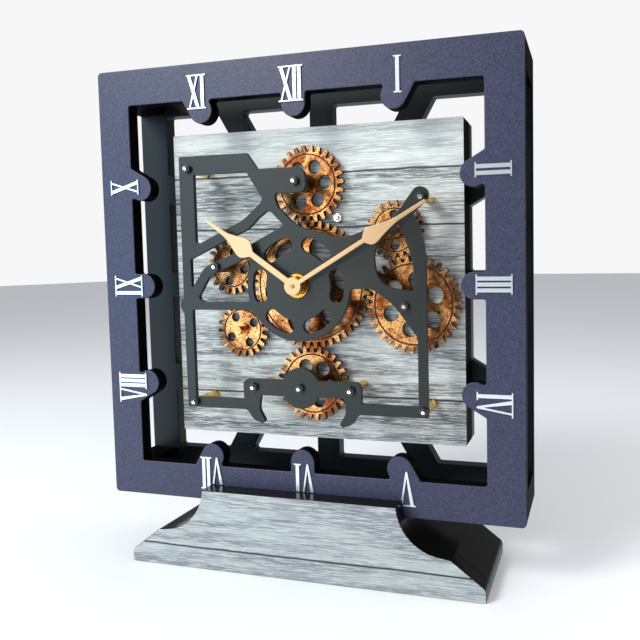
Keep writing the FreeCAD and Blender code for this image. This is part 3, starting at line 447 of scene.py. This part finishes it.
# Rims are softened by the widest bevel that leaves every face free of folds
def softened(source, settings):
    for share in softening["bevelShares"]:
        mesh = source.copy()
        bmesh.ops.bevel(mesh, geom=rimEdges(mesh), offset=settings["bevel"] * share * mm,
                        offset_type="OFFSET", segments=settings["segments"], profile=0.5, material=-1,
                        affect="EDGES", clamp_overlap=False)
        mesh.normal_update()
        if not hasFolds(mesh):
            source.free()
            return mesh
        mesh.free()
    return source


# A copy of one node's shape with softened rims, riding on the same body
def refined(name, settings):
    mesh = bmesh.new()
    mesh.from_mesh(nodes[name].data)
    bmesh.ops.remove_doubles(mesh, verts=mesh.verts, dist=softening["mergeDistance"])
    bmesh.ops.dissolve_limit(mesh, angle_limit=softening["flatAngle"], verts=mesh.verts, edges=mesh.edges)
    mesh.normal_update()
    if settings["bevel"] > 0:
        mesh = softened(mesh, settings)
    mesh.normal_update()
    keys = []
    for face in mesh.faces:
        key = settings["finish"](face.normal, face.calc_center_median())
        if key not in keys:
            keys.append(key)
        face.material_index = keys.index(key)
        face.smooth = True
    for edge in mesh.edges:
        edge.smooth = edge.calc_face_angle(0) < softening["smoothAngle"]
    data = bpy.data.meshes.new(name + "Shape")
    mesh.to_mesh(data)
    mesh.free()
    piece = bpy.data.objects.new(name + "Piece", data)
    bpy.context.scene.collection.objects.link(piece)
    for key in keys:
        data.materials.append(paint[key])
    normals = piece.modifiers.new("Normals", "WEIGHTED_NORMAL")
    normals.keep_sharp = True
    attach(piece, bodyOf[name])
    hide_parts(name)


for name, settings in pieceSettings.items():
    refined(name, settings)
for key, names in plainPieces.items():
    for name in names:
        nodes[name].data.materials.clear()
        nodes[name].data.materials.append(paint[key])
print("pieces refined", len(pieceSettings))


# Floor, light and camera
floorSettings = {"left": -6, "right": 6, "front": -3, "back": 9,
                 "color": (0.82, 0.83, 0.86), "roughness": 0.55}
lights = {
    "keyLight": {"place": (-0.80, -0.95, 1.15), "size": (0.5, 0.5), "power": 19, "color": (1.0, 0.98, 0.95)},
    "leftWindow": {"place": (-0.85, -0.85, 0.50), "size": (0.9, 0.8), "power": 4.5,
                   "color": (0.55, 0.80, 1.0), "mirrored": False},
    "sheenPanel": {"place": (-0.80, -0.83, 0.34), "size": (0.50, 0.80), "power": 3.0,
                   "color": (0.45, 0.74, 1.0)},
    "warmPanel": {"place": (-0.40, -0.83, 0.34), "size": (0.26, 0.55), "power": 0.9,
                  "color": (1.0, 0.93, 0.82)},
    "rightStrip": {"place": (0.9, 0.15, 0.35), "size": (0.5, 0.9), "power": 5, "color": (1.0, 0.97, 0.92)},
}
surround = {"color": (0.95, 0.97, 1.0, 1), "strength": 0.70, "mirrorDimming": 0.46,
            "seenColor": (0.93, 0.93, 0.94, 1)}


def makeFloor(settings):
    left, right, front, back = (settings[side] for side in ("left", "right", "front", "back"))
    mesh = bmesh.new()
    corners = [(left, front, 0), (right, front, 0), (right, back, 0), (left, back, 0)]
    mesh.faces.new([mesh.verts.new(corner) for corner in corners])
    data = bpy.data.meshes.new("floorShape")
    mesh.to_mesh(data)
    mesh.free()
    data.materials.append(newMaterial("Pale floor", settings["color"], settings["roughness"]))
    floor = bpy.data.objects.new("floor", data)
    bpy.context.scene.collection.objects.link(floor)


# Rectangular light turned to the middle of the dial
def areaLight(name, place, size, power, color, mirrored=True):
    data = bpy.data.lights.new(name, "AREA")
    data.shape = "RECTANGLE"
    data.size, data.size_y = size
    data.energy = power
    data.color = color
    light = bpy.data.objects.new(name, data)
    light.location = place
    light.rotation_euler = (centre - Vector(place)).to_track_quat("-Z", "Y").to_euler()
    light.visible_glossy = mirrored
    bpy.context.scene.collection.objects.link(light)


# Pale surround: metal mirrors a dimmer one, and the camera sees a plain backdrop
def makeWorld(settings):
    world = bpy.data.worlds.new("studio")
    bpy.context.scene.world = world
    world.use_nodes = True
    tree = world.node_tree
    path = tree.nodes.new("ShaderNodeLightPath")
    around = tree.nodes["Background"]
    around.inputs["Color"].default_value = settings["color"]
    dimmed = times(tree, path.outputs["Is Glossy Ray"], settings["mirrorDimming"])
    tree.links.new(minus(tree, settings["strength"], dimmed), around.inputs["Strength"])
    seen = addNode(tree, "ShaderNodeBackground", Color=settings["seenColor"], Strength=1.0)
    blend = tree.nodes.new("ShaderNodeMixShader")
    tree.links.new(path.outputs["Is Camera Ray"], blend.inputs["Fac"])
    tree.links.new(around.outputs["Background"], blend.inputs[1])
    tree.links.new(seen.outputs["Background"], blend.inputs[2])
    tree.links.new(blend.outputs["Shader"], tree.nodes["World Output"].inputs["Surface"])


makeFloor(floorSettings)
for name, settings in lights.items():
    areaLight(name, **settings)
makeWorld(surround)
print("lights set", len(lights))


# The photograph's camera: angles in radians, the focal length and the middle of the lens in pixels
camera = {"place": (0.1902, -0.3859, 0.2090), "turn": 0.2415, "tilt": -0.0606, "roll": 0.0121,
          "focalPixels": 605.47, "middle": (445.90, 298.03), "pixels": 640, "sensor": 36, "nearest": 0.01}


def makeCamera(settings):
    lens = bpy.data.cameras.new("camera")
    eye = bpy.data.objects.new("camera", lens)
    turned = (Matrix.Rotation(settings["turn"], 3, "Z") @ Matrix.Rotation(settings["tilt"], 3, "X")
              @ Matrix.Rotation(settings["roll"], 3, "Y"))
    right, ahead, up = turned.col[0], turned.col[1], turned.col[2]
    axes = Matrix((right, up, -ahead)).transposed().to_4x4()
    eye.matrix_world = Matrix.Translation(settings["place"]) @ axes
    lens.sensor_width = settings["sensor"]
    lens.lens = settings["sensor"] * settings["focalPixels"] / settings["pixels"]
    lens.shift_x = 0.5 - settings["middle"][0] / settings["pixels"]
    lens.shift_y = settings["middle"][1] / settings["pixels"] - 0.5
    lens.clip_start = settings["nearest"]
    bpy.context.scene.collection.objects.link(eye)
    return eye


bpy.context.scene.camera = makeCamera(camera)
bpy.context.scene.view_settings.view_transform = "Standard"
print("stage set")
